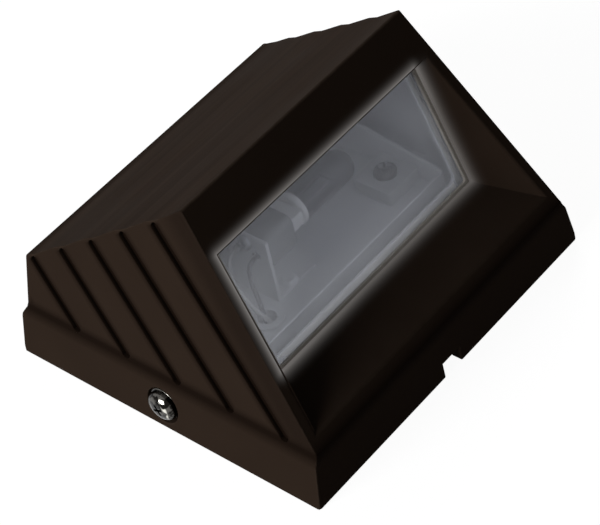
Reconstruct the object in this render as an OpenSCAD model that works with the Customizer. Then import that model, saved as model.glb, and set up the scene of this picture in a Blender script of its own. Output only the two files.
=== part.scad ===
// Surface mounted step light, lying on its mounting face
// +Z points away from the wall, -Y is the window side, +Y is the back

/* [Casting] */
// Length of the skirt, end to end
body_l = 102; // [101:0.5:103]
// Width of the skirt, from the window side to the back
body_w = 97.6; // [97:0.2:98.6]
// Height of the ridge above the wall
ridge_z = 68.4; // [68:0.2:69]
// Height of the straight skirt band
band_h = 12.5; // [11.5:0.5:12.5]
// Thickness of the hood's walls
wall = 3; // [2.6:0.1:3.2]
// Thickness of the skirt
skirt_wall = 3.2; // [2.8:0.1:3.4]

/* [Hood] */
// Angle of the window face from the wall
front_angle = 57; // [56.5:0.5:57.5]
// Length of the ribbed face, from the ridge down to the back edge
ribbed_l = 67.7; // [67:0.1:68]
// Draft of the hood's ends and back
hood_draft = 9; // [8.5:0.1:9.2]
// Draft of the skirt's ends
skirt_draft = 10; // [8:0.5:10]
// Height where the hood's walls start above the cove
hood_foot_z = 14.4; // [14:0.2:15]

/* [Ribs] */
// Grooves down each end, one at every step of the ribbed face
grooves = 5; // [1:1:5]
// Distance from the ridge to the first step
first_step = 12.3; // [11:0.1:13]
// Distance from one step to the next
step_pitch = 13.3; // [12:0.1:13.3]
// Height of a step
step_h = 0.35; // [0.3:0.05:1]
// Slope of the end grooves from the wall
groove_angle = 52.5; // [50:0.5:55]
// Width of an end groove
groove_w = 2.6; // [1.8:0.1:2.8]
// Depth of an end groove
groove_d = 1.2; // [0.5:0.1:1.3]

/* [Window] */
// Visible length of the lens
window_l = 72.2; // [71:0.1:72.6]
// Visible height of the lens
window_h = 33.9; // [33:0.1:34.2]
// Angle of the lens from the wall
lens_angle = 69.8; // [69:0.1:70.5]
// Thickness of the lens
lens_t = 3; // [2.5:0.1:3.2]
// Length of the notch in the skirt under the window
notch_l = 6.3; // [5:0.1:12]
// Height of the notch
notch_h = 4.5; // [2:0.1:5]

/* [Base] */
// Distance between the two slots for the wall screws
wall_slot_gap = 70; // [66:0.5:72]
// Width of a wall screw slot
wall_slot_w = 4.6; // [4:0.1:5]
// Length of a wall screw slot
wall_slot_l = 9; // [7:0.5:10]
// Bore of the cable grommet
cable_bore = 8; // [5:0.5:9]
// Height of the side screws above the wall
side_screw_z = 6.5; // [6.3:0.1:6.8]

/* [Hidden] */
$fn = 48;
bronze = [0.17, 0.13, 0.10];
steel = [0.78, 0.78, 0.76];
zinc = [0.70, 0.72, 0.72];
brass = [0.80, 0.62, 0.30];
white = [0.86, 0.86, 0.83];
black_rubber = [0.10, 0.10, 0.10];
silicone = [0.80, 0.78, 0.72];

// Outline of the hood and skirt, seen from the left end
half_l = body_l / 2;
half_w = body_w / 2;
top_angle = 90 - front_angle;
ridge_y = -13.7;
foot_y = 0.6 - half_w;
foot_z = ridge_z - (ridge_y - foot_y) * tan(front_angle);
back_y = ridge_y + ribbed_l * cos(top_angle);
back_z = ridge_z - ribbed_l * sin(top_angle);
hood_back_y = back_y + (back_z - hood_foot_z) * tan(hood_draft);
band_back_y = half_w - 1.3;
hood_half_l = half_l - 3.4;
hood_top_z = ridge_z + 1;
hood_top_half_l = hood_half_l - (hood_top_z - hood_foot_z) * tan(hood_draft);
band_half_l = half_l - band_h * tan(skirt_draft);
plan_corner = 1;
groove_foot_z = hood_foot_z + 1.6;
groove_top = 0.9;

skirt_yz = [[-half_w, 0], [half_w, 0], [band_back_y, band_h], [hood_back_y, hood_foot_z]];
plain_yz = concat(skirt_yz, [[back_y, back_z], [ridge_y, ridge_z], [foot_y, foot_z]]);
plain_xz = [
    [-half_l, 0], [half_l, 0], [band_half_l, band_h], [hood_half_l, hood_foot_z],
    [hood_top_half_l, hood_top_z], [-hood_top_half_l, hood_top_z],
    [-hood_half_l, hood_foot_z], [-band_half_l, band_h]
];
end_wall = 2.4;
walls_yz = [-1, skirt_wall, wall, wall, wall + 0.2, wall, skirt_wall];
walls_xz = [-1, skirt_wall, end_wall, end_wall, 0, end_wall, end_wall, skirt_wall];
core_yz = [for (w = walls_yz) w < 0 ? 0 : 1.3];
core_xz = [for (w = walls_xz) w < 0 ? 0 : 1.3];
groove_floor = [for (w = walls_xz) w < 0 ? -1 : groove_d];

// Window frame: its own X runs along the lens, Y up the lens and Z out of the recess
lens_y = -24.35;
lens_z = 39;
side_flare = 31.2;
low_flare = 36;
high_flare = 25;
recess_depth = 24;
recess_wall = 2.6;
seat_z = -0.8;
seat_t = 4.8;
seat_h = window_h + 17.3;
gasket_t = 0.8;
gasket_lip = 0.6;
lens_l = window_l + 3.2;
lens_h = window_h + 4.4;
lens_back_z = seat_z - gasket_t - lens_t;
frame_t = 1;
lens_screw_x = 25;
lens_screw_y = lens_h / 2 + 3.2;

// Base plate, tray and posts
gasket_h = 1.2;
plate_t = 1.4;
plate_z = gasket_h + plate_t;
plate_l = 88;
plate_w = 86;
fork_x = plate_l / 2;
fork_t = 1.6;
fork_half_w = 7;
fork_top_z = 11.5;
tray_z = 13.6;
sheet_t = 0.8;
tray_floor = tray_z + sheet_t;
tray_half_l = 38.4;
tray_front = -18.5;
tray_back = 28;
tray_lip_h = 5.6;
tray_end_h = 10.4;
tray_end_front_h = 6.4;
back_panel_h = 16.4;
back_panel_lean = 7;
post_at = [31.4, -5.5];
rivet_x = -8;
rivet_gap = 10;
block_h = 4.2;
tray_head_r = 3.1;
bushing_at = [-20, -9.2];

// Side screws
screw_r = 2;
screw_bore = 2.05;
clear_r = 2.25;
head_r = 4.15;
washer_r = 4.5;
spot_r = 4.9;
spot_x = 48.2;
washer_t = 0.7;
head_h = 2.8;
shank_l = 10;
pad_x = 44.3;
nut_t = 2.9;
nut_x = 42.3;
clip_t = 0.6;
shelf_x = 40.6;
shelf_low_z = 12;
shelf_z = 14.4;
stake_x = 42.4;

// Lamp and holder, along the lamp's axis
lamp_y = -1;
lamp_z = 28;
holder_x = -3;
holder_back = -13.2;
holder_w = 11.6;
holder_h = 10;
holder_screw_up = 3.4;
terminal_gap = 6;
pocket_w = 8.8;
pocket_h = 5;
pocket_d = 6.5;
base_w = 8.2;
base_h = 4.2;
contact_t = 0.3;
bulb_r = 4.6;
bulb_wall = 0.8;
collar_x = 2;
bulb_start = 3.5;
bulb_end = 24;
coil_x = 12;
coil_half_l = 2.3;

// Lead routes, from the holder down through the tray to the connectors
lead_r = 0.6;
connector_r = 3.6;
connector_l = 16;
connector_start = 5;
black_end_x = -27;
white_end_x = -17.5;
connector_z = plate_z + connector_r;
black_route = [
    [-13.2, -4, 28], [-15.5, -4, 28], [-17.6, -4.4, 27.4], [-19, -5.4, 25.2], [-19.7, -6.8, 22],
    [-20, -7.9, 18], [-20, -8.2, 14], [-20.3, -8, 11], [-21.6, -6.6, 8.6], [-24, -3.4, 7],
    [-26, -0.4, 6.3], [-27, 2.6, 6.2], [-27, 5, 6.2]
];
white_route = [
    [-13.2, 2, 28], [-15.6, 2, 28], [-18.2, 1.6, 27.6], [-20.8, -0.4, 25.6], [-22.2, -4, 22.4],
    [-22.2, -8, 19], [-21, -10.1, 16], [-20.1, -10.3, 13.4], [-19.6, -9.9, 10.6], [-18.8, -7.4, 8],
    [-18, -4, 6.6], [-17.5, 0, 6.2], [-17.5, 2.6, 6.2], [-17.5, 5, 6.2]
];

// Polygon moved inwards by one distance for each edge, points anticlockwise
function edge_line(p, i, d) =
    let (a = p[i], b = p[(i + 1) % len(p)], u = (b - a) / norm(b - a))
    [a + d * [-u.y, u.x], u];
function meet(m, n) = m[0] + m[1] * cross(n[0] - m[0], n[1]) / cross(m[1], n[1]);
function inset(p, d) =
    let (n = len(p))
    [for (i = [0:n - 1]) meet(edge_line(p, (i + n - 1) % n, d[(i + n - 1) % n]), edge_line(p, i, d[i]))];

// Polygon with each corner rounded to a radius, a radius of 0 keeps the corner
function turn(a) = a > 180 ? a - 360 : a < -180 ? a + 360 : a;
function corner_arc(a, b, c, r) =
    let (
        u = (a - b) / norm(a - b),
        v = (c - b) / norm(c - b),
        half = acos(u * v) / 2,
        centre = b + (u + v) / norm(u + v) * r / sin(half),
        from = b + u * r / tan(half) - centre,
        to = b + v * r / tan(half) - centre,
        start = atan2(from.y, from.x),
        sweep = turn(atan2(to.y, to.x) - start),
        steps = ceil(abs(sweep) / 22)
    )
    [for (k = [0:steps]) centre + r * [cos(start + sweep * k / steps), sin(start + sweep * k / steps)]];
function rounded(p, r) =
    let (n = len(p))
    [
        for (i = [0:n - 1]) each r[i] == 0 ? [p[i]]
            : corner_arc(p[(i + n - 1) % n], p[i], p[(i + 1) % n], r[i])
    ];
function plate_outline(l, w, r) =
    rounded([[-l / 2, -w / 2], [l / 2, -w / 2], [l / 2, w / 2], [-l / 2, w / 2]], [r, r, r, r]);

// Radius that rounds corner b over a given length of its sides
function radius_over(a, b, c, reach) =
    reach * tan(acos((a - b) * (c - b) / (norm(a - b) * norm(c - b))) / 2);

// A point on the ribbed face, by its distance from the ridge and its height over the face
function ribbed_point(along, above) = [
    ridge_y + along * cos(top_angle) + above * sin(top_angle),
    ridge_z - along * sin(top_angle) + above * cos(top_angle)
];
function step_at(k) = first_step + k * step_pitch;
step_high = -0.15;
step_low = step_high - step_h;
ribbed_edge = [
    for (k = [grooves - 1:-1:0], above = [step_high, step_low]) ribbed_point(step_at(k), above)
];

// Solids drawn by their outline across one axis
module along_x(l) {
    rotate([90, 0, 90]) linear_extrude(l, center = true) children();
}
module along_y(l) {
    rotate([90, 0, 0]) linear_extrude(l, center = true) children();
}
module in_window() {
    translate([0, lens_y, lens_z]) rotate([lens_angle, 0, 0]) children();
}
module both_ends() {
    children();
    mirror([1, 0, 0]) children();
}
module cylinder_x(r, from, to) {
    translate([from, 0, 0]) rotate([0, 90, 0]) cylinder(r = r, h = to - from);
}

// Cast cover
// The two radii of a cove, at the top of the skirt and at the foot of the hood
function cove_radii(low, skirt, foot, high) =
    let (shoulder = norm(foot - skirt))
    [radius_over(low, skirt, foot, 0.33 * shoulder), radius_over(skirt, foot, high, 0.62 * shoulder)];
module hood_outside() {
    corners = concat(skirt_yz, [[back_y, back_z]], ribbed_edge, [[ridge_y, ridge_z], [foot_y, foot_z]]);
    back = cove_radii(skirt_yz[1], skirt_yz[2], skirt_yz[3], [back_y, back_z]);
    end = cove_radii(plain_xz[1], plain_xz[2], plain_xz[3], plain_xz[4]);
    radii = concat([0, 0], back, [1.5], [for (p = ribbed_edge) 0], [0.6, 1.2]);
    intersection() {
        along_x(body_l) polygon(rounded(corners, radii));
        along_y(body_w) polygon(rounded(plain_xz, [0, 0, end[0], end[1], 0, 0, end[1], end[0]]));
        linear_extrude(hood_top_z) polygon(plate_outline(body_l, body_w, plan_corner));
    }
}
module hood_inside(d_yz, d_xz) {
    intersection() {
        along_x(body_l) polygon(inset(plain_yz, d_yz));
        along_y(body_w) polygon(inset(plain_xz, d_xz));
    }
}
module end_grooves() {
    difference() {
        for (k = [0:grooves - 1]) {
            start = ribbed_point(step_at(k), 0);
            low = -(start.y - groove_foot_z) / sin(groove_angle);
            high = -groove_top - groove_w / 2;
            along_x(body_l + 2) translate(start) rotate(groove_angle) {
                translate([low, -groove_w / 2]) square([high - low, groove_w]);
                for (end = [low, high]) translate([end, 0]) circle(groove_w / 2, $fn = 24);
            }
        }
        along_y(body_w + 2) polygon(inset(plain_xz, groove_floor));
    }
}
module recess(metal) {
    side = window_l / 2 + metal / cos(side_flare);
    low = window_h / 2 + metal / cos(low_flare);
    high = window_h / 2 + metal / cos(high_flare);
    d = recess_depth;
    low_out = low + d * tan(low_flare);
    high_out = high + d * tan(high_flare);
    side_out = side + d * tan(side_flare);
    intersection() {
        along_x(2 * body_l) polygon([[-low, 0], [high, 0], [high_out, d], [-low_out, d]]);
        along_y(2 * body_w) polygon([[-side, 0], [side, 0], [side_out, d], [-side_out, d]]);
    }
}
module at_lens_screws() {
    for (x = [-lens_screw_x, lens_screw_x], y = [-lens_screw_y, lens_screw_y])
        translate([x, y, 0]) children();
}
module window_metal() {
    recess(recess_wall);
    translate([0, 0, seat_z + seat_t / 2]) cube([body_l, seat_h, seat_t], center = true);
    at_lens_screws() translate([0, 0, lens_back_z]) cylinder(r = 2.8, h = seat_z - lens_back_z + 0.1);
}
module screw_pad() {
    along_y(2 * fork_half_w) polygon([
        [pad_x, 0], [spot_x + 0.5, 0], [spot_x + 0.5, shelf_z], [shelf_x, shelf_z],
        [shelf_x, shelf_low_z], [pad_x, shelf_low_z]
    ]);
    translate([stake_x, 0, shelf_z - 0.5]) cylinder(r = 1, h = clip_t + 1.1);
}
module cover() {
    color(bronze) difference() {
        union() {
            difference() {
                hood_outside();
                hood_inside(walls_yz, walls_xz);
                end_grooves();
            }
            intersection() {
                hood_inside(core_yz, core_xz);
                in_window() window_metal();
            }
            intersection() {
                hood_inside(core_yz, core_xz);
                both_ends() screw_pad();
            }
        }
        in_window() {
            recess(0);
            translate([0, 0, -1]) cube([window_l, window_h, 4], center = true);
            at_lens_screws() translate([0, 0, lens_back_z - 1]) cylinder(r = 1.3, h = 5.6);
        }
        both_ends() translate([0, 0, side_screw_z]) {
            cylinder_x(clear_r, pad_x - 1, half_l + 1);
            cylinder_x(spot_r, spot_x, half_l + 1);
        }
        translate([-notch_l / 2, -half_w - 1, -1]) cube([notch_l, skirt_wall + 3, notch_h + 1]);
    }
}

// Lens and what holds it
module lens_gasket() {
    color(silicone) in_window() translate([0, 0, seat_z - gasket_t]) linear_extrude(gasket_t)
        difference() {
            polygon(plate_outline(lens_l, lens_h, 1.5));
            polygon(plate_outline(window_l - 2 * gasket_lip, window_h - 2 * gasket_lip, 0.8));
        }
}
module lens() {
    color([0.72, 0.75, 0.78, 0.6]) in_window() translate([0, 0, lens_back_z]) linear_extrude(lens_t)
        polygon(plate_outline(lens_l, lens_h, 1.2));
}
module lens_frame() {
    color(white) in_window() translate([0, 0, lens_back_z - frame_t]) difference() {
        linear_extrude(frame_t) difference() {
            polygon(plate_outline(73.6, 2 * lens_screw_y + 5.2, 2));
            polygon(plate_outline(window_l - 2.6, window_h - 2.4, 1.5));
        }
        at_lens_screws() translate([0, 0, -1]) cylinder(r = 1.6, h = 3);
    }
}
module lens_screws() {
    color(zinc) in_window() at_lens_screws() {
        translate([0, 0, lens_back_z - frame_t]) cylinder(r = 1.25, h = 4.6);
        translate([0, 0, lens_back_z - frame_t - 1.7]) difference() {
            cylinder(r1 = 2.1, r2 = 2.6, h = 1.7);
            translate([0, 0, 0.3]) cube([0.8, 3.2, 1.2], center = true);
            translate([0, 0, 0.3]) cube([3.2, 0.8, 1.2], center = true);
        }
    }
}

// Base plate and what fixes it
module wall_slot(w, l) {
    for (y = [-wall_slot_gap / 2, wall_slot_gap / 2]) translate([0, y]) {
        for (s = [-1, 1]) translate([0, s * (l - w) / 2]) circle(w / 2);
        square([w, l - w], center = true);
    }
}
module wall_gasket() {
    color(black_rubber) linear_extrude(gasket_h) difference() {
        polygon(plate_outline(plate_l - 1, plate_w - 1, 4));
        circle(8.3);
        wall_slot(wall_slot_w + 1.4, wall_slot_l + 1.4);
    }
}
module backplate() {
    color(zinc) translate([0, 0, gasket_h]) linear_extrude(plate_t) difference() {
        polygon(plate_outline(plate_l, plate_w, 4));
        circle(6);
        wall_slot(wall_slot_w, wall_slot_l);
    }
}
module plate_forks() {
    corners = [
        [-fork_half_w, plate_z], [fork_half_w, plate_z], [fork_half_w, fork_top_z], [-fork_half_w, fork_top_z]
    ];
    color(zinc) both_ends() difference() {
        translate([fork_x - fork_t / 2, 0, 0]) along_x(fork_t) polygon(rounded(corners, [0, 0, 2, 2]));
        translate([0, 0, side_screw_z]) cylinder_x(clear_r, fork_x - 3, fork_x + 1);
        translate([fork_x - 3, -clear_r, side_screw_z]) cube([4, 2 * clear_r, fork_top_z]);
    }
}
module clip_nuts() {
    back_x = nut_x - nut_t - clip_t;
    low_z = side_screw_z - 3.5;
    color(zinc) both_ends() difference() {
        union() {
            translate([nut_x - nut_t, 0, side_screw_z]) rotate([0, 90, 0]) rotate(30)
                cylinder(r = 4, h = nut_t, $fn = 6);
            translate([back_x, -3.5, low_z]) cube([clip_t, 7, shelf_z + clip_t - low_z]);
            translate([back_x, -3.5, shelf_z]) cube([44.2 - back_x, 7, clip_t]);
        }
        translate([0, 0, side_screw_z]) cylinder_x(screw_bore, back_x - 1, nut_x + 1);
        translate([stake_x, 0, 0]) cylinder(r = 1.05, h = 20);
    }
}
module cable_grommet() {
    bore = cable_bore / 2;
    color(black_rubber) rotate_extrude() polygon([
        [bore, 0.2], [8, 0.2], [8, gasket_h], [5.9, gasket_h], [5.9, plate_z],
        [8, plate_z], [7.4, plate_z + 1.4], [bore + 1.2, plate_z + 2.6], [bore, plate_z + 2.6]
    ]);
}

// Reflector tray and the blocks that clamp it to its posts
module at_rivets() {
    for (s = [-1, 1]) translate([rivet_x, lamp_y + s * rivet_gap / 2, 0]) children();
}
module at_posts() {
    for (s = [-1, 1]) translate([s * post_at.x, post_at.y, 0]) children();
}
module tray_posts() {
    color(zinc) at_posts() translate([0, 0, plate_z]) difference() {
        cylinder(r = 3.5, h = tray_z - plate_z);
        translate([0, 0, 2.4]) cylinder(r = screw_bore, h = tray_z);
    }
}
module reflector_tray() {
    t = sheet_t;
    sheet_yz = [
        [tray_front, tray_z], [tray_back, tray_z],
        [tray_back + back_panel_lean, tray_z + back_panel_h],
        [tray_back + back_panel_lean - t, tray_z + back_panel_h],
        [tray_back - t, tray_floor], [tray_front + t, tray_floor],
        [tray_front + t, tray_z + tray_lip_h], [tray_front, tray_z + tray_lip_h]
    ];
    end_back = tray_back + back_panel_lean * tray_end_h / back_panel_h;
    end_yz = [
        [tray_front, tray_z], [tray_back, tray_z], [end_back, tray_z + tray_end_h],
        [6, tray_z + tray_end_h], [tray_front, tray_z + tray_end_front_h]
    ];
    color(white) difference() {
        union() {
            along_x(2 * tray_half_l) polygon(sheet_yz);
            both_ends() translate([tray_half_l - t / 2, 0, 0]) along_x(t) polygon(end_yz);
        }
        at_posts() cylinder(r = 2.2, h = 40);
        translate([bushing_at.x, bushing_at.y, 0]) cylinder(r = 3.3, h = 40);
        at_rivets() cylinder(r = 1.5, h = 16);
    }
}
module tray_blocks() {
    color(white) at_posts() translate([0, 0, tray_floor]) difference() {
        linear_extrude(block_h) polygon(plate_outline(12, 12, 1));
        translate([0, 0, -1]) cylinder(r = 2.2, h = 10);
    }
}
module pan_head(r, h) {
    difference() {
        rotate_extrude()
            polygon(rounded([[0, 0], [r, 0], [r, h * 0.45], [r * 0.62, h], [0, h]], [0, 0, 0.8, 1.2, 0]));
        for (a = [0, 90]) rotate(a) translate([0, 0, h]) cube([r * 1.15, r * 0.27, h * 1.1], center = true);
    }
}
module tray_screws() {
    color([0.35, 0.34, 0.33]) at_posts() {
        translate([0, 0, tray_floor + block_h]) rotate(20) pan_head(tray_head_r, 2);
        translate([0, 0, plate_z + 3]) cylinder(r = screw_r, h = tray_floor + block_h - plate_z - 3);
    }
}
module lead_bushing() {
    seat = sheet_t + 0.6;
    color(silicone) translate([bushing_at.x, bushing_at.y, tray_z - 0.6]) rotate_extrude()
        polygon([[2.4, 0], [3.2, 0], [3.2, seat], [4.2, seat], [4.2, seat + 0.8], [2.4, seat + 0.8]]);
}

// Lamp holder on its bracket
module holder_bracket() {
    color(white) difference() {
        union() {
            translate([holder_back - 1, lamp_y - 7, tray_floor]) cube([14, 14, 1]);
            translate([holder_back - 1, lamp_y - 7, tray_floor]) cube([1, 14, 19.4]);
        }
        at_rivets() cylinder(r = 1.5, h = 40);
        for (s = [-1, 1]) translate([0, lamp_y + s * terminal_gap / 2, lamp_z])
            cylinder_x(1.3, holder_back - 2, holder_back + 1);
        translate([0, lamp_y, lamp_z + holder_screw_up])
            cylinder_x(1.3, holder_back - 2, holder_back + 1);
    }
}
module bracket_rivets() {
    color(white) at_rivets() {
        translate([0, 0, tray_z]) cylinder(r = 1.45, h = sheet_t + 1);
        translate([0, 0, tray_floor + 1]) cylinder(r1 = 2.4, r2 = 1.5, h = 0.9);
        translate([0, 0, tray_z - 0.8]) cylinder(r1 = 1.6, r2 = 2.2, h = 0.8);
    }
}
module lamp_holder() {
    l = holder_x - holder_back;
    color(white) difference() {
        translate([holder_back + l / 2, lamp_y, lamp_z]) along_x(l)
            polygon(plate_outline(holder_w, holder_h, 2));
        translate([holder_x - pocket_d, lamp_y - pocket_w / 2, lamp_z - pocket_h / 2])
            cube([pocket_d + 1, pocket_w, pocket_h]);
        translate([0, lamp_y, lamp_z + holder_screw_up]) cylinder_x(1.1, holder_back - 1, holder_back + 3.2);
    }
}
module holder_screw() {
    color(zinc) translate([0, lamp_y, lamp_z + holder_screw_up]) {
        cylinder_x(1.05, holder_back - 1, holder_back + 3);
        translate([holder_back - 1, 0, 0]) rotate([0, -90, 0]) pan_head(2.2, 1.4);
    }
}
module holder_contacts() {
    contact_z = (base_h + pocket_h) / 4;
    color(brass) for (s = [-1, 1])
        translate([holder_x - pocket_d + 0.2, lamp_y - 3, lamp_z + s * contact_z - contact_t / 2])
            cube([pocket_d - 0.4, 6, contact_t]);
}
module lamp_base() {
    collar_h = bulb_start - collar_x;
    base_x = holder_x - pocket_d + 1.8;
    color(white) translate([0, lamp_y, lamp_z]) {
        translate([base_x, -base_w / 2, -base_h / 2]) cube([collar_x - base_x, base_w, base_h]);
        translate([collar_x, 0, 0]) rotate([0, 90, 0]) rotate_extrude()
            polygon([[0, 0], [bulb_r - 0.5, 0], [bulb_r, 0.5], [bulb_r, collar_h], [0, collar_h]]);
    }
}
module bulb_profile(r) {
    tip = bulb_end - bulb_start - bulb_r;
    intersection() {
        union() {
            square([r, tip]);
            translate([0, tip]) circle(r);
        }
        square([bulb_r, bulb_end]);
    }
}
module lamp_bulb() {
    color([0.8, 0.8, 0.78, 0.5]) translate([bulb_start, lamp_y, lamp_z]) rotate([0, 90, 0]) rotate_extrude()
        difference() {
            bulb_profile(bulb_r);
            bulb_profile(bulb_r - bulb_wall);
        }
}
module lamp_filament() {
    color(steel) translate([bulb_start, lamp_y, lamp_z]) {
        for (s = [-1, 1]) translate([0, s * (coil_half_l - 0.4), 0]) cylinder_x(0.3, 0, coil_x);
        translate([coil_x, -coil_half_l, 0]) rotate([-90, 0, 0]) cylinder(r = 0.5, h = 2 * coil_half_l);
    }
}

// Leads: round tubes swept along their routes, straight and square at both ends
function unit(v) = v / norm(v);
function direction(p, i) = unit(p[min(i + 1, len(p) - 1)] - p[max(i - 1, 0)]);
function smooth(p) = [
    for (i = [0:len(p) - 1]) each i == 0 || i == len(p) - 1 ? [p[i]]
        : [(p[i - 1] + 3 * p[i]) / 4, (3 * p[i] + p[i + 1]) / 4]
];
module lead(route) {
    p = smooth(route);
    n = len(p);
    sides = 8;
    start = direction(p, 0);
    side_start = unit(cross(start, [0, 1, 0]));
    sides_of = [for (i = 0, s = side_start; i < n; i = i + 1,
        s = i < n ? unit(s - (s * direction(p, i)) * direction(p, i)) : s) s];
    points = [
        for (i = [0:n - 1], k = [0:sides - 1])
            let (a = sides_of[i], b = cross(direction(p, i), a), w = 360 * k / sides)
            p[i] + lead_r * (a * cos(w) + b * sin(w))
    ];
    faces = concat(
        [[for (k = [0:sides - 1]) sides - 1 - k]],
        [[for (k = [0:sides - 1]) (n - 1) * sides + k]],
        [
            for (i = [0:n - 2], k = [0:sides - 1], half = [0, 1])
                let (a = i * sides + k, b = i * sides + (k + 1) % sides)
                half == 0 ? [a, b, b + sides] : [a, b + sides, a + sides]
        ]
    );
    polyhedron(points, [for (f = faces) [for (k = [len(f) - 1:-1:0]) f[k]]]);
}
module black_lead() {
    color(black_rubber) lead(black_route);
}
module white_lead() {
    color(white) lead(white_route);
}
module wire_connectors() {
    half_section = [[0, 0], [connector_r, 0], [connector_r, 5], [2.4, connector_l], [0, connector_l]];
    color([0.75, 0.35, 0.12]) for (x = [black_end_x, white_end_x])
        translate([x, connector_start, connector_z]) rotate([-90, 0, 0]) rotate_extrude()
            polygon(rounded(half_section, [0, 0.6, 0, 1.2, 0]));
}

// Side screws with their washers
module side_washer() {
    translate([0, 0, side_screw_z]) difference() {
        cylinder_x(washer_r, spot_x, spot_x + washer_t);
        cylinder_x(2.15, spot_x - 1, spot_x + 2);
    }
}
module side_screw() {
    under_head = spot_x + washer_t;
    translate([0, 0, side_screw_z]) {
        cylinder_x(screw_r, under_head - shank_l + 0.8, under_head);
        translate([under_head - shank_l, 0, 0]) rotate([0, 90, 0]) cylinder(r1 = 1.3, r2 = screw_r, h = 0.8);
        translate([under_head, 0, 0]) rotate([0, 90, 0]) rotate(25) pan_head(head_r, head_h);
    }
}
module left_washer() {
    color(steel) mirror([1, 0, 0]) side_washer();
}
module left_screw() {
    color(steel) mirror([1, 0, 0]) side_screw();
}
module right_washer() {
    color(steel) side_washer();
}
module right_screw() {
    color(steel) side_screw();
}

cover();
lens_gasket();
lens();
lens_frame();
lens_screws();
wall_gasket();
backplate();
plate_forks();
clip_nuts();
cable_grommet();
tray_posts();
reflector_tray();
tray_blocks();
tray_screws();
lead_bushing();
holder_bracket();
bracket_rivets();
lamp_holder();
holder_screw();
holder_contacts();
lamp_base();
lamp_bulb();
lamp_filament();
black_lead();
white_lead();
wire_connectors();
left_washer();
left_screw();
right_washer();
right_screw();
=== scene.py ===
import math

import bmesh
import bpy
from mathutils import Matrix, Vector


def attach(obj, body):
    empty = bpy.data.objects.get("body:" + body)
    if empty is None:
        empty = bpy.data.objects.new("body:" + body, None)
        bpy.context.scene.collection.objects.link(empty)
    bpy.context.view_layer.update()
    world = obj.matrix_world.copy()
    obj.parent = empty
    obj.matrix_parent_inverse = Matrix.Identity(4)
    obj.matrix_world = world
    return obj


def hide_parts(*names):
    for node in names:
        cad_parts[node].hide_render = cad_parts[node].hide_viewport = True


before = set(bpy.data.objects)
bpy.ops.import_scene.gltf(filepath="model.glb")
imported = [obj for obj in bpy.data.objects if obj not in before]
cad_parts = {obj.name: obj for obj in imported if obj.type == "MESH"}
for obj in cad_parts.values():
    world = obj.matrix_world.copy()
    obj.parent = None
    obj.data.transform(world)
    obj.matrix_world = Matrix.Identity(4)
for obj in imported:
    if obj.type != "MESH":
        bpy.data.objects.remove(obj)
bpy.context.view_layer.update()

scene = bpy.context.scene


# Camera
# A long lens looks down at the light from its front left, where the photo was taken, and is
# turned a little clockwise about its own axis.
camera_turn = [math.radians(a) for a in (45.5920, 9.8282, -50.1099)]
bpy.ops.object.camera_add(location=(-0.261868, -0.308370, 0.395820), rotation=camera_turn)
camera = bpy.context.object
camera.name = "camera"
camera.data.sensor_width = 36
camera.data.lens = 135.69
scene.camera = camera


# Floor and studio light
# A plain white sheet under the light. It is white to the camera, to gloss and through glass, and
# holds the soft shadow. A broad lamp stands at the left, one behind at the right, and a weak one
# fills the front.
def add_node(tree, kind, inputs=None, **settings):
    """A shader node with its settings, each input a value or the socket that feeds it."""
    made = tree.nodes.new("ShaderNode" + kind)
    for key, value in settings.items():
        setattr(made, key, value)
    for key, value in (inputs or {}).items():
        if isinstance(value, bpy.types.NodeSocket):
            tree.links.new(value, made.inputs[key])
        else:
            made.inputs[key].default_value = value
    return made


def new_material(name):
    """An empty node material and its tree."""
    material = bpy.data.materials.new(name)
    material.use_nodes = True
    material.node_tree.nodes.clear()
    return material, material.node_tree


def seen_directly(tree):
    """1 for rays from the camera, from gloss or through glass, else 0."""
    path = add_node(tree, "LightPath")
    either = add_node(tree, "Math", {0: path.outputs["Is Camera Ray"], 1: path.outputs["Is Glossy Ray"]},
                      operation="MAXIMUM")
    return add_node(tree, "Math", {0: either.outputs[0], 1: path.outputs["Is Transmission Ray"]},
                    operation="MAXIMUM").outputs[0]


bpy.ops.mesh.primitive_plane_add(size=4)
floor = bpy.context.object
floor.name = "floor"
floor_white, tree = new_material("floor_white")
matt = add_node(tree, "BsdfDiffuse", {"Color": (0.2, 0.2, 0.2, 1)})
glow = add_node(tree, "Emission", {"Color": (1, 1, 1, 1), "Strength": 0.94})
both = add_node(tree, "AddShader", {0: matt.outputs[0], 1: glow.outputs[0]})
shown = add_node(tree, "MixShader", {0: seen_directly(tree), 1: matt.outputs[0], 2: both.outputs[0]})
add_node(tree, "OutputMaterial", {"Surface": shown.outputs[0]})
floor.data.materials.append(floor_white)

world = bpy.data.worlds.new("studio")
scene.world = world
world.use_nodes = True
tree = world.node_tree
tree.nodes.clear()
dim = add_node(tree, "Background", {"Color": (1, 1, 1, 1), "Strength": 0.035})
white = add_node(tree, "Background", {"Color": (1, 1, 1, 1), "Strength": 1.0})
shown = add_node(tree, "MixShader", {0: seen_directly(tree), 1: dim.outputs[0], 2: white.outputs[0]})
add_node(tree, "OutputWorld", {"Surface": shown.outputs[0]})


def add_lamp(name, place, target, size, watts):
    """A square area lamp at a place, facing a target."""
    bpy.ops.object.light_add(type="AREA", location=place)
    lamp = bpy.context.object
    lamp.name = name
    lamp.data.shape = "SQUARE"
    lamp.data.size = size
    lamp.data.energy = watts
    lamp.rotation_euler = (Vector(target) - Vector(place)).to_track_quat("-Z", "Y").to_euler()


body_centre = (0, 0, 0.03)
add_lamp("key_lamp", (-1.16, 0.12, 0.47), body_centre, 0.7, 11.5)
add_lamp("back_lamp", (0.85, 0.76, 0.52), body_centre, 0.7, 5.0)
add_lamp("fill_lamp", (0.3, -1.0, 0.9), body_centre, 0.8, 0.25)
scene.view_settings.view_transform = "Standard"


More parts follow.
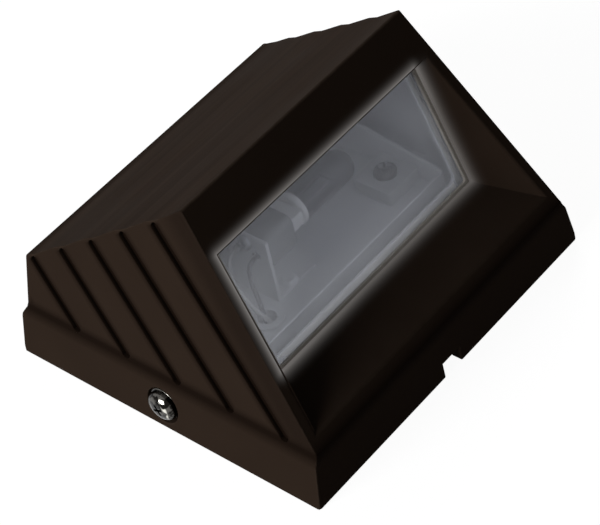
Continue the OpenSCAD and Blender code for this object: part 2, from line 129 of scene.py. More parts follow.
# Cover
# The hood is one aluminium die casting: a ribbed wedge with a flared window recess over a drafted
# skirt, with every edge a little round, and a fine dark bronze powder coat baked on.
def edit(piece, action):
    """Edit mode on one piece alone, with all of it selected or nothing."""
    bpy.ops.object.select_all(action="DESELECT")
    bpy.context.view_layer.objects.active = piece
    piece.select_set(True)
    bpy.ops.object.mode_set(mode="EDIT")
    bpy.ops.mesh.select_all(action=action)
    return bmesh.from_edit_mesh(piece.data)


def apply_modifier(piece, kind, name, **settings):
    bpy.ops.object.select_all(action="DESELECT")
    bpy.context.view_layer.objects.active = piece
    piece.select_set(True)
    modifier = piece.modifiers.new(name, kind)
    for key, value in settings.items():
        setattr(modifier, key, value)
    bpy.ops.object.modifier_apply(modifier=modifier.name)


def own_copy(node, name):
    """A piece of its own in a CAD node's shape, with the node's loose triangles joined."""
    piece = bpy.data.objects.new(name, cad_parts[node].data.copy())
    scene.collection.objects.link(piece)
    edit(piece, "SELECT")
    bpy.ops.mesh.remove_doubles(threshold=1e-6)
    bpy.ops.mesh.dissolve_limited(angle_limit=math.radians(0.3))
    bpy.ops.object.mode_set(mode="OBJECT")
    piece.data.materials.clear()
    return piece


def round_edges(piece, width, segments=2, share=lambda edge: 1.0, wear_and_highlight=lambda place: 1.0):
    """Every sharp edge gets a radius, marked for wear and painted highlight, and the flats stay flat."""
    sharp, too_close = math.radians(35), 7.5e-5
    mesh = bmesh.new()
    mesh.from_mesh(piece.data)
    part = mesh.edges.layers.float.new("bevel_weight_edge")
    for edge in mesh.edges:
        is_sharp = len(edge.link_faces) == 2 and edge.calc_face_angle() > sharp
        edge[part] = share(edge) if is_sharp else 0.0
    mesh.to_mesh(piece.data)
    mesh.free()
    for _ in range(2):
        piece.data.materials.append(None)
    apply_modifier(piece, "BEVEL", "edge radius", width=width, segments=segments, limit_method="WEIGHT",
                   use_clamp_overlap=False, loop_slide=False, material=1)
    edit(piece, "SELECT")
    bpy.ops.mesh.remove_doubles(threshold=too_close)
    bpy.ops.object.mode_set(mode="OBJECT")
    edge = piece.data.attributes.new("edge", "FLOAT", "FACE")
    for face, mark in zip(piece.data.polygons, edge.data):
        mark.value = face.material_index * wear_and_highlight(face.center)
        face.material_index = 0
    piece.data.materials.clear()
    bpy.ops.object.shade_smooth_by_angle(angle=math.radians(42))
    apply_modifier(piece, "WEIGHTED_NORMAL", "flat faces", keep_sharp=True)


def new_group(name, inputs, outputs):
    """An empty shader group with number sockets, and its input and output nodes."""
    group = bpy.data.node_groups.new(name, "ShaderNodeTree")
    number = "NodeSocketFloat"
    for label, value in inputs.items():
        group.interface.new_socket(label, in_out="INPUT", socket_type=number).default_value = value
    for label in outputs:
        group.interface.new_socket(label, in_out="OUTPUT", socket_type=number)
    return group, group.nodes.new("NodeGroupInput").outputs, group.nodes.new("NodeGroupOutput").inputs


def math_node(tree, operation, a, b=0.0):
    return add_node(tree, "Math", {0: a, 1: b}, operation=operation).outputs[0]


def product(tree, first, *others):
    """Masks multiplied one after the other."""
    for other in others:
        first = math_node(tree, "MULTIPLY", first, other)
    return first


def spread(tree, value, low, high, to_low=0.0, to_high=1.0):
    """A value mapped from one range to another and held inside it."""
    return add_node(tree, "MapRange", {"Value": value, "From Min": low, "From Max": high,
                                       "To Min": to_low, "To Max": to_high}).outputs[0]


def skin_point(tree):
    """The shaded point in the frame's own metres."""
    return add_node(tree, "TexCoord").outputs["Object"]


def skin_facing(tree):
    return add_node(tree, "NewGeometry").outputs["Normal"]


def noise(tree, scale, detail=2.0, place=None):
    inputs = {"Vector": place or skin_point(tree), "Scale": scale, "Detail": detail}
    return add_node(tree, "TexNoise", inputs).outputs["Fac"]


# grain: a fine orange peel and a slow unevenness, both sized in cycles a metre
grain_group, put, out = new_group("surface_grain", {"Fine": 1500, "Slow": 60}, ("Height", "Mottle"))
fine = noise(grain_group, put["Fine"], 3.0)
slow = noise(grain_group, put["Slow"], 2.0)
grain_group.links.new(fine, out["Height"])
grain_group.links.new(slow, out["Mottle"])

# wear and painted highlight: the rounded edges that stick out, broken up by noise
wear_and_highlight_group, put, out = new_group("edge_wear_and_highlight", {"Amount": 0.5, "Break": 400}, ("Mask",))
edges = spread(wear_and_highlight_group, add_node(wear_and_highlight_group, "NewGeometry").outputs["Pointiness"], 0.49, 0.53)
marked = add_node(wear_and_highlight_group, "Attribute", attribute_name="edge").outputs["Fac"]
broken = spread(wear_and_highlight_group, noise(wear_and_highlight_group, put["Break"], 4.0), 0.30, 0.60)
wear_and_highlight_group.links.new(product(wear_and_highlight_group, edges, marked, broken, put["Amount"]), out["Mask"])

# dust: a thin veil on what faces up, thicker in patches
dust_group, put, out = new_group("settled_dust", {"Amount": 0.1, "Patch": 90}, ("Mask",))
up = add_node(dust_group, "SeparateXYZ", {0: skin_facing(dust_group)}).outputs["Z"]
level = spread(dust_group, up, 0.35, 1.0)
patches = spread(dust_group, noise(dust_group, put["Patch"], 6.0), 0.3, 0.75, 0.25, 1.0)
dust_group.links.new(product(dust_group, level, patches, put["Amount"]), out["Mask"])


def use_group(tree, group, **inputs):
    made = tree.nodes.new("ShaderNodeGroup")
    made.node_tree = group
    for key, value in inputs.items():
        made.inputs[key].default_value = value
    return made.outputs


def mix_colour(tree, factor, a, b):
    """A colour mixed from two, each a socket or three numbers."""
    made = add_node(tree, "Mix", data_type="RGBA")
    for place, value in ((0, factor), (6, a), (7, b)):
        if isinstance(value, bpy.types.NodeSocket):
            tree.links.new(value, made.inputs[place])
        else:
            made.inputs[place].default_value = value if place == 0 else (*value, 1)
    return made.outputs[2]


def finish_material(tree, colour, roughness, height, depth, strength=1.0, **plain):
    """A Principled surface fed by a colour, a roughness and a bump height in metres."""
    bump = add_node(tree, "Bump", {"Strength": strength, "Distance": depth, "Height": height})
    surface = add_node(tree, "BsdfPrincipled", {"Base Color": colour, "Roughness": roughness,
                                                "Normal": bump.outputs[0], **plain})
    add_node(tree, "OutputMaterial", {"Surface": surface.outputs[0]})
    return surface


# the casting's planes, each by a place on it and the way it faces, and the lie of the end grooves
front, ribbed, grooved, draft, skirt_draft = (math.radians(a) for a in (57, 33, 52.5, 9, 10))
ridge, back_top, foot = (0, -0.0137, 0.0684), (0, 0.0431, 0.0315), (0.0476, 0, 0.0144)
front_plane = ridge, Vector((0, -math.sin(front), math.cos(front)))
ribbed_plane = ridge, Vector((0, math.sin(ribbed), math.cos(ribbed)))
back_plane = back_top, Vector((0, math.cos(draft), math.sin(draft)))
end_plane = foot, Vector((math.cos(draft), 0, math.sin(draft)))
skirt_plane = (0.051, 0, 0), Vector((math.cos(skirt_draft), 0, math.sin(skirt_draft)))
groove_line = ridge, Vector((0, -math.sin(grooved), math.cos(grooved)))
hood_planes = front_plane, ribbed_plane, back_plane

# the window's middle, turn and half size, and how the recess's walls flare from it
window_centre = (0, -0.02435, 0.039)
window_turn = (math.radians(69.8), 0, 0)
window_half = (0.0361, 0.01695, 0.0)
side_flare, low_flare, high_flare = (math.tan(math.radians(a)) for a in (31.2, 36, 25))


def reach(tree, vector, way):
    """How far a vector reaches along a direction."""
    return add_node(tree, "VectorMath", {0: vector, 1: way}, operation="DOT_PRODUCT").outputs["Value"]


def under_plane(tree, at, plane):
    """How deep a shaded point lies under a plane."""
    through, out = plane
    return math_node(tree, "SUBTRACT", out.dot(Vector(through)), reach(tree, at, out))


def outside(tree, vector):
    """The length of a vector's positive parts."""
    above = add_node(tree, "VectorMath", {0: vector, 1: (0, 0, 0)}, operation="MAXIMUM").outputs[0]
    return add_node(tree, "VectorMath", {0: above}, operation="LENGTH").outputs["Value"]


def from_window(tree):
    """The shaded point seen from the window's middle: across it, up it and out of it."""
    inputs = {"Vector": skin_point(tree), "Location": window_centre, "Rotation": window_turn}
    return add_node(tree, "Mapping", inputs, vector_type="TEXTURE").outputs[0]


def die_streaks(tree):
    """Faint streaks along the ribbed face, left by the die."""
    stretched = add_node(tree, "Mapping", {"Vector": skin_point(tree), "Scale": (0.03, 1, 1)}).outputs[0]
    streaks = spread(tree, noise(tree, 330, 3.0, stretched), 0.35, 0.65, 0.0, 0.55)
    on_ribs = reach(tree, skin_facing(tree), ribbed_plane[1])
    return product(tree, streaks, spread(tree, on_ribs, 0.9, 0.95))


def at_hood_end(tree):
    """1 on the flat of either end, by the depth under its plane, and that depth."""
    mirrored = add_node(tree, "VectorMath", {0: skin_point(tree)}, operation="ABSOLUTE").outputs[0]
    under_end = under_plane(tree, mirrored, end_plane)
    return spread(tree, under_end, 0.0006, 0.0002), under_end


def front_strip(tree, height):
    """A darker strip in each end along the front face."""
    at_end, _ = at_hood_end(tree)
    under_front = under_plane(tree, skin_point(tree), front_plane)
    strip = spread(tree, under_front, 0.0095, 0.0035, 0.0, 0.42)
    return product(tree, at_end, strip, spread(tree, height, 0.014, 0.018))


def painted_shade(tree, height):
    """Painted shade in the end grooves and a little beside them, and in the cove over the skirt."""
    first_step, step_pitch, cove_height = 0.0123, 0.0133, 0.0149
    to_groove = math.sin(ribbed + grooved)
    point = skin_point(tree)
    at_end, under_end = at_hood_end(tree)
    along_groove = spread(tree, height, 0.0135, 0.0145)
    for plane in hood_planes:
        behind = spread(tree, under_plane(tree, point, plane), 0.0008, 0.0014)
        along_groove = product(tree, along_groove, behind)
    walls, floor_end = spread(tree, under_end, 0.0002, 0.0007), spread(tree, under_end, 0.0018, 0.0015)
    in_groove = product(tree, walls, floor_end)
    from_first = math_node(tree, "SUBTRACT", under_plane(tree, point, groove_line), first_step * to_groove)
    from_groove = math_node(tree, "PINGPONG", from_first, step_pitch * to_groove / 2)
    beside_groove = product(tree, spread(tree, from_groove, 0.0030, 0.0012, 0.0, 0.62), at_end)
    in_groove = math_node(tree, "MAXIMUM", product(tree, in_groove, 0.85), beside_groove)
    from_cove = math_node(tree, "ABSOLUTE", math_node(tree, "SUBTRACT", height, cove_height))
    in_cove = math_node(tree, "POWER", spread(tree, from_cove, 0.0031, 0.0005), 1.3)
    return math_node(tree, "MAXIMUM", product(tree, in_groove, along_groove), product(tree, in_cove, 0.8))


def stray_light(tree):
    """Painted light from the pane, as a lighter colour and a glow in the coat: round it in the recess, and
    on the front along two edges of the opening.
    """
    place = from_window(tree)
    beyond = add_node(tree, "VectorMath", {0: place}, operation="ABSOLUTE").outputs[0]
    beyond = add_node(tree, "VectorMath", {0: beyond, 1: window_half}, operation="SUBTRACT").outputs[0]
    at_glass = math_node(tree, "POWER", spread(tree, outside(tree, beyond), 0.0060, 0.0003), 4.5)
    across, up, out_of = add_node(tree, "SeparateXYZ", {0: place}).outputs
    upper_left = math_node(tree, "SUBTRACT", product(tree, up, 2.1), across)
    at_glass = product(tree, at_glass, spread(tree, upper_left, -0.03, 0.03, 0.34, 0.72))

    left_gap = math_node(tree, "SUBTRACT", math_node(tree, "SUBTRACT", -window_half[0], across),
                         product(tree, out_of, side_flare))
    left_gap = math_node(tree, "MAXIMUM", left_gap, math_node(tree, "SUBTRACT", across, 0.033))
    upper_gap = math_node(tree, "SUBTRACT", math_node(tree, "SUBTRACT", up, window_half[1]),
                          product(tree, out_of, high_flare))
    upper_gap = math_node(tree, "MAXIMUM", upper_gap, math_node(tree, "SUBTRACT", -0.0105, up))
    gap = add_node(tree, "CombineXYZ", {"X": left_gap, "Y": upper_gap}).outputs[0]
    at_opening = math_node(tree, "POWER", spread(tree, outside(tree, gap), 0.0052, 0.0), 4.6)
    on_front = reach(tree, skin_facing(tree), front_plane[1])
    at_opening = product(tree, at_opening, spread(tree, on_front, 0.86, 0.94, 0.0, 0.85))
    return math_node(tree, "MAXIMUM", at_glass, at_opening)


powder_coat, tree = new_material("bronze_powder_coat")
grain = use_group(tree, grain_group, Fine=1700, Slow=45)
wear_and_highlight = use_group(tree, wear_and_highlight_group, Amount=0.13, Break=350)
dust = use_group(tree, dust_group, Amount=0.02, Patch=110)
height = add_node(tree, "SeparateXYZ", {0: skin_point(tree)}).outputs["Z"]
painted_glow_mask = stray_light(tree)
coat = mix_colour(tree, grain["Mottle"], (0.030, 0.0193, 0.0136), (0.040, 0.0264, 0.0188))
# wear and painted highlight: the coat's rounded edges lighter, as soft light lines along them
coat = mix_colour(tree, wear_and_highlight["Mask"], coat, (0.11, 0.085, 0.065))
coat = mix_colour(tree, dust["Mask"], coat, (0.20, 0.18, 0.15))
coat = mix_colour(tree, die_streaks(tree), coat, (0.019, 0.013, 0.010))
coat = mix_colour(tree, front_strip(tree, height), coat, (0.008, 0.005, 0.004))
# painted shade: the coat near black in the end grooves, softly beside them and in the cove
coat = mix_colour(tree, painted_shade(tree, height), coat, (0.008, 0.0045, 0.003))
# painted light: the coat lighter round the window and along two edges of the opening, as if lit by the
# pane
coat = mix_colour(tree, painted_glow_mask, coat, (0.10, 0.09, 0.083))
gloss = spread(tree, grain["Mottle"], 0.3, 0.7, 0.54, 0.62)
surface = finish_material(tree, coat, gloss, grain["Height"], 0.00006, 0.35,
                          **{"Specular IOR Level": 0.003})
# painted glow: the same mask makes the coat emit light there
tree.links.new(mix_colour(tree, painted_glow_mask, (0, 0, 0), (0.25, 0.235, 0.225)), surface.inputs["Emission Color"])
surface.inputs["Emission Strength"].default_value = 1.0

bare_casting, tree = new_material("bare_casting")
grain = use_group(tree, grain_group, Fine=1100, Slow=120)
skin = mix_colour(tree, grain["Mottle"], (0.62, 0.62, 0.61), (0.76, 0.76, 0.75))
finish_material(tree, skin, 0.6, grain["Height"], 0.0001, 0.5)


def below(place, plane):
    """How deep a place lies under a plane."""
    through, out = plane
    return (Vector(through) - place).dot(out)


def radius_share(edge):
    """The ridge and the window's edges get most, the rims of the grooves least."""
    ways = [Vector((abs(f.normal.x), f.normal.y, f.normal.z)) for f in edge.link_faces]
    middle = (edge.verts[0].co + edge.verts[1].co) / 2
    at_front, at_back = (abs(below(middle, plane)) < 0.0003 for plane in (front_plane, back_plane))
    beside_end = any(way.dot(end_plane[1]) > 0.999 for way in ways)
    if at_front and middle.z > 0.018 and not beside_end:
        return 1.0
    in_end = abs(middle.x) > 0.037 and abs(middle.y) < 0.044 and middle.z > 0.0142
    return 0.4 if in_end and not at_front and not at_back else 0.53


def wear_and_highlight_share(place):
    """Less wear and painted highlight on the grooves' edges, in the ends and well behind the front, the
    ribs and the back.
    """
    in_end = abs(place.x) > 0.03 and 0.0125 < place.z
    behind = min(below(place, plane) for plane in hood_planes)
    return 0.15 if in_end and behind > 0.0012 else 1.0


def soften_ribs(piece, wave):
    """The ridge gets a plain corner, and each low step across the ribbed face becomes a soft wave."""
    near_ridge, deepest_step, least_area = 0.0009, 0.0006, 2e-5
    ridge_end = foot[0] - (ridge[2] - foot[2]) * math.tan(draft)
    mesh = bmesh.new()
    mesh.from_mesh(piece.data)
    for vert in mesh.verts:
        from_ridge = math.hypot(vert.co.y - ridge[1], vert.co.z - ridge[2])
        if abs(vert.co.x) > ridge_end - near_ridge and from_ridge < near_ridge:
            vert.co = (math.copysign(ridge_end, vert.co.x), ridge[1], ridge[2])
    bmesh.ops.remove_doubles(mesh, verts=mesh.verts, dist=1e-6)
    mesh.normal_update()
    moves = {}
    for face in mesh.faces:
        depths = [below(v.co, ribbed_plane) for v in face.verts]
        in_ribs = len(depths) == 4 and min(depths) >= -0.0001 and max(depths) <= deepest_step
        if not in_ribs or face.calc_area() < least_area or abs(face.normal.dot(ribbed_plane[1])) > 0.3:
            continue
        to_back = (Vector(back_top) - face.calc_center_median()).yz.length
        for vert, depth in zip(face.verts, depths):
            end_out = Vector((math.copysign(end_plane[1].x, vert.co.x), 0, end_plane[1].z))
            along = ribbed_plane[1].cross(end_out).normalized()
            away = math.copysign(min(wave, 0.3 * to_back), along.dot(face.normal))
            moves[vert] = along * (away if depth > sum(depths) / 4 else -away)
    for vert, move in moves.items():
        vert.co += move
    mesh.to_mesh(piece.data)
    mesh.free()


half_depth = 0.0488
skirt_sides = tuple(((0, side * half_depth, 0), Vector((0, side, 0))) for side in (-1, 1))
outer_planes = hood_planes + (end_plane, skirt_plane) + skirt_sides
to_window = (Matrix.Translation(window_centre) @ Matrix.Rotation(window_turn[0], 4, "X")).inverted()


def is_inside(point):
    """True for a point well under the casting's skin that isn't on the recess."""
    skin, ledge, slack = 0.0017, 0.0010, 0.0004
    mirrored = Vector((abs(point.x), point.y, point.z))
    across, up, out = to_window @ point
    height = max(out, 0)
    in_width = abs(across) < window_half[0] + slack + height * side_flare
    below_top = up < window_half[1] + slack + height * high_flare
    over_sill = up > -window_half[1] - slack - height * low_flare
    in_recess = out > -ledge and in_width and below_top and over_sill
    return min(below(mirrored, plane) for plane in outer_planes) > skin and not in_recess


casting = own_copy("cover", "cover_casting")
soften_ribs(casting, 0.0017)
round_edges(casting, 0.00062, segments=3, share=radius_share, wear_and_highlight=wear_and_highlight_share)
casting.data.materials.append(powder_coat)
casting.data.materials.append(bare_casting)
for face in casting.data.polygons:
    face.material_index = int(is_inside(face.center))
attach(casting, "cover")
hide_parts("cover")


# Lens and gasket
# A pane of sandblasted glass lies on a pale silicone strip behind the window, and the strip's lip
# shows as a light line all round.
frosted, tree = new_material("frosted_glass")
grain = use_group(tree, grain_group, Fine=2600, Slow=40)
tint = mix_colour(tree, grain["Mottle"], (0.76, 0.78, 0.84), (0.81, 0.83, 0.89))
surface = finish_material(tree, tint, 0.045, grain["Height"], 0.00003, 0.3,
                          **{"Transmission Weight": 0.82, "IOR": 1.25})

# painted glow: the pane glows along the lower and the left edge, and a little along the right, for light
# that wanders inside it and leaves it there
across, up, _ = add_node(tree, "SeparateXYZ", {0: from_window(tree)}).outputs
pane_glow = product(tree, spread(tree, up, -0.003, -0.016), spread(tree, across, 0.036, 0.0, 0.1, 0.9))
pane_glow = math_node(tree, "MAXIMUM", pane_glow, spread(tree, across, -0.012, -0.036, 0.0, 1.0))
pane_glow = math_node(tree, "MAXIMUM", pane_glow, spread(tree, across, 0.020, 0.036, 0.0, 0.35))
pane_glow = product(tree, pane_glow, spread(tree, up, 0.016, 0.003))
tree.links.new(mix_colour(tree, pane_glow, (0, 0, 0), (0.043, 0.044, 0.046)), surface.inputs["Emission Color"])
surface.inputs["Emission Strength"].default_value = 1.0

pane = own_copy("lens", "lens_pane")
round_edges(pane, 0.0003)
pane.data.materials.append(frosted)
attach(pane, "cover")
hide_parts("lens")

silicone = {}
for name, low, high in (("pale_silicone", (0.40, 0.37, 0.33), (0.52, 0.49, 0.45)),
                        ("white_silicone", (0.72, 0.72, 0.70), (0.80, 0.80, 0.78))):
    silicone[name], tree = new_material(name)
    grain = use_group(tree, grain_group, Fine=900, Slow=120)
    strip = mix_colour(tree, grain["Mottle"], low, high)
    finish_material(tree, strip, 0.55, grain["Height"], 0.00005, 0.4)


def paint(node, material):
    """A CAD node keeps its shape and gets a better material."""
    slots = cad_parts[node].material_slots
    for one in slots:
        one.material = material
    if not slots:
        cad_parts[node].data.materials.append(material)


paint("lens_gasket", silicone["pale_silicone"])


# Zinc plated parts
# Clips, backplate, forks and posts are pressed or turned from steel and bright zinc plated, with
# broken edges and a faint grain from rolling.
zinc, tree = new_material("bright_zinc")
grain = use_group(tree, grain_group, Fine=1300, Slow=150)
wear_and_highlight = use_group(tree, wear_and_highlight_group, Amount=0.5, Break=700)
plate = mix_colour(tree, grain["Mottle"], (0.50, 0.51, 0.50), (0.66, 0.67, 0.67))
plate = mix_colour(tree, wear_and_highlight["Mask"], plate, (0.80, 0.80, 0.78))
gloss = spread(tree, grain["Mottle"], 0.3, 0.7, 0.28, 0.42)
finish_material(tree, plate, gloss, grain["Height"], 0.00003, 0.3, Metallic=1.0)

for node, radius in (("backplate", 0.00025), ("plate_forks", 0.0002)):
    piece = own_copy(node, node + "_steel")
    round_edges(piece, radius)
    piece.data.materials.append(zinc)
    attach(piece, "base")
    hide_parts(node)
for node in ("clip_nuts", "lens_screws", "tray_posts", "holder_screw"):
    paint(node, zinc)


# Rubber parts
# The sheet gasket is cut from closed cell foam, the cable grommet is moulded black rubber, and the
# lead bushing is moulded white silicone.
rubber, tree = new_material("black_rubber")
grain = use_group(tree, grain_group, Fine=2200, Slow=200)
dust = use_group(tree, dust_group, Amount=0.12, Patch=150)
body = mix_colour(tree, grain["Mottle"], (0.018, 0.018, 0.018), (0.032, 0.031, 0.030))
body = mix_colour(tree, dust["Mask"], body, (0.16, 0.15, 0.13))
finish_material(tree, body, 0.75, grain["Height"], 0.00008, 0.6)
for node in ("wall_gasket", "cable_grommet"):
    paint(node, rubber)
paint("lead_bushing", silicone["white_silicone"])


# Reflector tray, holder bracket and lens frame
# The tray is one folded sheet of steel with a front lip, two ends and a back that leans out. Like
# the riveted angle that carries the lamp holder and the frame that clamps the lens, it is dipped in
# white enamel.
enamel, tree = new_material("white_enamel")
grain = use_group(tree, grain_group, Fine=700, Slow=70)
wear_and_highlight = use_group(tree, wear_and_highlight_group, Amount=0.8, Break=300)
skin = mix_colour(tree, grain["Mottle"], (0.74, 0.74, 0.72), (0.82, 0.82, 0.80))
# wear and painted highlight: the enamel's edges lighter, as bright lines; most on the tray, none on the
# bracket
skin = mix_colour(tree, wear_and_highlight["Mask"], skin, (0.96, 0.96, 0.94))
finish_material(tree, skin, 0.32, grain["Height"], 0.00004, 0.3)
for node, body, radius, wear_and_highlight_amount in (("reflector_tray", "base", 0.00025, 1.0),
                                 ("holder_bracket", "base", 0.00015, 0.0),
                                 ("lens_frame", "cover", 0.00015, 0.3)):
    piece = own_copy(node, node + "_enamelled")
    round_edges(piece, radius, wear_and_highlight=lambda place: wear_and_highlight_amount)
    piece.data.materials.append(enamel)
    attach(piece, body)
    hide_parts(node)
paint("bracket_rivets", enamel)


# Mouldings
# The clamp blocks under the tray's screws are moulded in a natural plastic, the lamp holder, which is
# screwed to its bracket, in a grey one, and the lamp's wedge base in a white one.
for node, body, radius, name, low, high in (
    ("tray_blocks", "base", 0.0003, "natural_moulding", (0.60, 0.60, 0.57), (0.70, 0.70, 0.67)),
    ("lamp_holder", "base", 0.0003, "grey_moulding", (0.28, 0.28, 0.27), (0.34, 0.34, 0.33)),
    ("lamp_base", "lamp", 0.00015, "white_moulding", (0.84, 0.83, 0.79), (0.92, 0.91, 0.88)),
):
    moulding, tree = new_material(name)
    grain = use_group(tree, grain_group, Fine=1100, Slow=110)
    skin = mix_colour(tree, grain["Mottle"], low, high)
    finish_material(tree, skin, 0.5, grain["Height"], 0.00005, 0.4)
    piece = own_copy(node, node + "_moulded")
    round_edges(piece, radius)
    piece.data.materials.append(moulding)
    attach(piece, body)
    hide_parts(node)


# Tray screws
# Two dark oxidised steel screws with pan heads go through the blocks and the tray into the posts,
# and clamp the tray between them.
dark_steel, tree = new_material("dark_steel")
grain = use_group(tree, grain_group, Fine=1500, Slow=300)
skin = mix_colour(tree, grain["Mottle"], (0.10, 0.095, 0.09), (0.20, 0.19, 0.18))
finish_material(tree, skin, 0.38, grain["Height"], 0.00003, 0.4, Metallic=0.9)
paint("tray_screws", dark_steel)


# Lamp
# A small wedge base lamp: grey tinted glass with a coiled filament between two support wires, pushed
# between the holder's brass strips.
brass, tree = new_material("spring_brass")
grain = use_group(tree, grain_group, Fine=1600, Slow=260)
skin = mix_colour(tree, grain["Mottle"], (0.58, 0.40, 0.16), (0.74, 0.56, 0.28))
finish_material(tree, skin, 0.3, grain["Height"], 0.00003, 0.3, Metallic=1.0)
paint("holder_contacts", brass)

clear_glass, tree = new_material("clear_glass")
grain = use_group(tree, grain_group, Fine=500, Slow=90)
tint = mix_colour(tree, grain["Mottle"], (0.33, 0.33, 0.35), (0.41, 0.41, 0.43))
finish_material(tree, tint, 0.12, grain["Height"], 0.00002, 0.2,
                **{"Transmission Weight": 1.0, "IOR": 1.45})
paint("lamp_bulb", clear_glass)

wire_metal, tree = new_material("filament_wire")
grain = use_group(tree, grain_group, Fine=2400, Slow=500)
skin = mix_colour(tree, grain["Mottle"], (0.38, 0.37, 0.35), (0.52, 0.51, 0.49))
finish_material(tree, skin, 0.35, grain["Height"], 0.00001, 0.3, Metallic=1.0)
paint("lamp_filament", wire_metal)


# Leads and connectors
# Two leads of stranded wire in plastic insulation run from the holder through the bushing to
# twist-on connectors below the tray.
for node, name, dark, light in (
    ("black_lead", "black_insulation", (0.07, 0.07, 0.07), (0.10, 0.10, 0.10)),
    ("white_lead", "white_insulation", (0.55, 0.54, 0.50), (0.66, 0.65, 0.62)),
):
    insulation, tree = new_material(name)
    grain = use_group(tree, grain_group, Fine=1900, Slow=350)
    skin = mix_colour(tree, grain["Mottle"], dark, light)
    finish_material(tree, skin, 0.42, grain["Height"], 0.00002, 0.3)
    piece = own_copy(node, node + "_tube")
    bpy.ops.object.shade_smooth_by_angle(angle=math.radians(60))
    piece.data.materials.append(insulation)
    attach(piece, "base")
    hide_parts(node)

orange, tree = new_material("orange_connector")
grain = use_group(tree, grain_group, Fine=1200, Slow=140)
skin = mix_colour(tree, grain["Mottle"], (0.52, 0.17, 0.03), (0.66, 0.25, 0.06))
finish_material(tree, skin, 0.45, grain["Height"], 0.00005, 0.4)
paint("wire_connectors", orange)


# Side screws and washers
# Stainless pan head screws with a cross recess and a coarse thread, one at each end, each with a
# flat washer that stays under its head.
stainless, tree = new_material("polished_stainless")
grain = use_group(tree, grain_group, Fine=900, Slow=520)
wear_and_highlight = use_group(tree, wear_and_highlight_group, Amount=0.4, Break=900)
# painted reflection: a near black base in blotches stands for a dark room mirrored in the polished metal
reflection_blotches = spread(tree, grain["Mottle"], 0.50, 0.60)
skin = mix_colour(tree, reflection_blotches, (0.010, 0.009, 0.008), (0.105, 0.10, 0.092))

# painted reflection: bright strokes on the side of the dome that faces the window side
sideways = add_node(tree, "SeparateXYZ", {0: skin_facing(tree)}).outputs["Y"]
painted_reflection_strokes = product(tree, spread(tree, sideways, -0.12, -0.20), spread(tree, sideways, -0.46, -0.36),
                  spread(tree, noise(tree, 420, 1.0), 0.46, 0.54))
skin = mix_colour(tree, painted_reflection_strokes, skin, (0.88, 0.86, 0.78))
skin = mix_colour(tree, wear_and_highlight["Mask"], skin, (0.40, 0.39, 0.36))
gloss = spread(tree, grain["Mottle"], 0.3, 0.7, 0.14, 0.28)
finish_material(tree, skin, gloss, grain["Height"], 0.00002, 0.3, Metallic=1.0)
for node in ("left_washer", "right_washer"):
    piece = own_copy(node, node + "_turned")
    round_edges(piece, 0.00012)
    piece.data.materials.append(stainless)
    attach(piece, node)
    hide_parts(node)


def select_cap(piece, top=True):
    """Edit mode with the one face selected that looks straight up, or down, and lies furthest out."""
    mesh = edit(piece, "DESELECT")
    bpy.ops.mesh.select_mode(type="FACE")
    caps = [face for face in mesh.faces if abs(face.normal.z) > 0.99 and (face.normal.z > 0) == top]
    furthest = max if top else min
    furthest(caps, key=lambda face: face.calc_center_median().z).select_set(True)
    bmesh.update_edit_mesh(piece.data)


def join(pieces, name):
    bpy.ops.object.select_all(action="DESELECT")
    for piece in pieces:
        piece.select_set(True)
    bpy.context.view_layer.objects.active = pieces[0]
    bpy.ops.object.join()
    pieces[0].name = name
    return pieces[0]


def helix(profile, turns, pitch, steps, name):
    """A closed profile in the XZ plane, wound round Z as a thread and capped."""
    bpy.ops.mesh.primitive_circle_add(vertices=len(profile), radius=0.001)
    wound = bpy.context.object
    wound.name = name
    for vertex, (x, z) in zip(wound.data.vertices, profile):
        vertex.co = (x, 0, z)
    apply_modifier(wound, "SCREW", "turns", axis="Z", screw_offset=pitch, angle=2 * math.pi,
                   iterations=turns, steps=steps, render_steps=steps, use_merge_vertices=False)
    edit(wound, "SELECT")
    bpy.ops.mesh.fill_holes(sides=len(profile))
    bpy.ops.mesh.select_all(action="SELECT")
    bpy.ops.mesh.normals_make_consistent(inside=False)
    bpy.ops.object.mode_set(mode="OBJECT")
    return wound


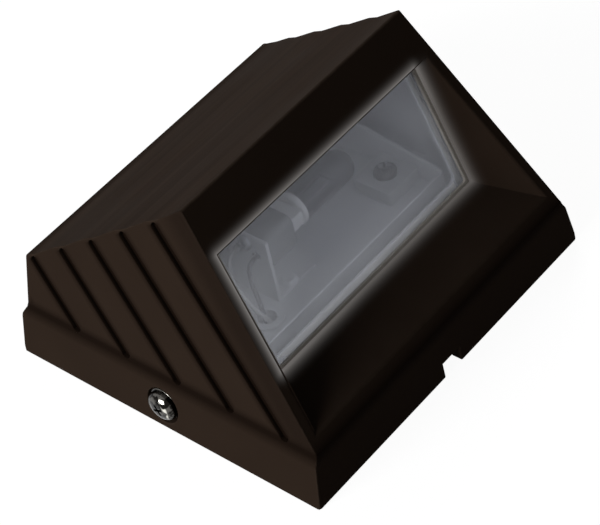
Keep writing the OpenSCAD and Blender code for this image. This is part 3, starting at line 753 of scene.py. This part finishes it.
def pan_head_screw(name):
    """A screw along Z: its head stands on z = 0 and its thread hangs below."""
    head_r, rim, dome = 0.00415, 0.0010, 0.0018
    bpy.ops.mesh.primitive_cylinder_add(vertices=72, radius=head_r, depth=rim, location=(0, 0, rim / 2))
    head = bpy.context.object
    bpy.ops.object.transform_apply()
    select_cap(head)
    was_r, was_z = head_r, rim
    for step in range(1, 9):
        turn = math.radians(10 * step)
        r, z = head_r * math.cos(turn) ** 0.62, rim + dome * math.sin(turn) ** 1.15
        bpy.ops.mesh.inset(thickness=was_r - r, depth=0)
        bpy.ops.transform.translate(value=(0, 0, z - was_z))
        was_r, was_z = r, z
    bpy.ops.object.mode_set(mode="OBJECT")

    wing_size, at_tip = (0.0047, 0.00092, 0.0036), (0.42, 0.62, 1)
    wings = []
    for angle in (0, math.pi / 2):
        bpy.ops.mesh.primitive_cube_add(size=1, location=(0, 0, rim + dome), rotation=(0, 0, angle),
                                        scale=wing_size)
        wing = bpy.context.object
        bpy.ops.object.transform_apply()
        select_cap(wing, top=False)
        bpy.ops.transform.resize(value=at_tip if angle == 0 else (at_tip[1], at_tip[0], 1))
        bpy.ops.object.mode_set(mode="OBJECT")
        wings.append(wing)
    cross = join(wings, "cross_cutter")
    apply_modifier(head, "BOOLEAN", "cross recess", operation="DIFFERENCE", object=cross, solver="EXACT",
                   use_self=True)
    bpy.data.objects.remove(cross)

    core_r, core_l, tip = 0.00158, 0.0096, 0.0004
    bpy.ops.mesh.primitive_cylinder_add(vertices=48, radius=core_r, depth=core_l,
                                        location=(0, 0, -core_l / 2))
    core = bpy.context.object
    bpy.ops.object.transform_apply()
    select_cap(core, top=False)
    bpy.ops.mesh.inset(thickness=tip, depth=0)
    bpy.ops.transform.translate(value=(0, 0, -tip))
    bpy.ops.object.mode_set(mode="OBJECT")

    root_r, crest_r, pitch, turns, lowest = 0.00152, 0.0020, 0.0007, 12, -0.0093
    groove_to_groove = [(root_r, 0.00008), (root_r, 0.00066), (crest_r, 0.00043), (crest_r, 0.00031)]
    thread = helix(groove_to_groove, turns, pitch, 28, "thread")
    thread.location.z = lowest
    bpy.ops.object.select_all(action="DESELECT")
    thread.select_set(True)
    bpy.ops.object.transform_apply()
    return join([head, core, thread], name)


under_head, axis_height, cross_turn = 0.0489, 0.0065, math.radians(24)
for side, node in ((-1, "left_screw"), (1, "right_screw")):
    screw = pan_head_screw(node + "_threaded")
    bpy.ops.object.shade_smooth_by_angle(angle=math.radians(38))
    screw.rotation_euler = (0, 0, cross_turn)
    bpy.ops.object.transform_apply()
    screw.rotation_euler = (0, side * math.pi / 2, 0)
    screw.location = (side * under_head, 0, axis_height)
    bpy.ops.object.transform_apply()
    screw.data.materials.append(stainless)
    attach(screw, node)
    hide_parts(node)
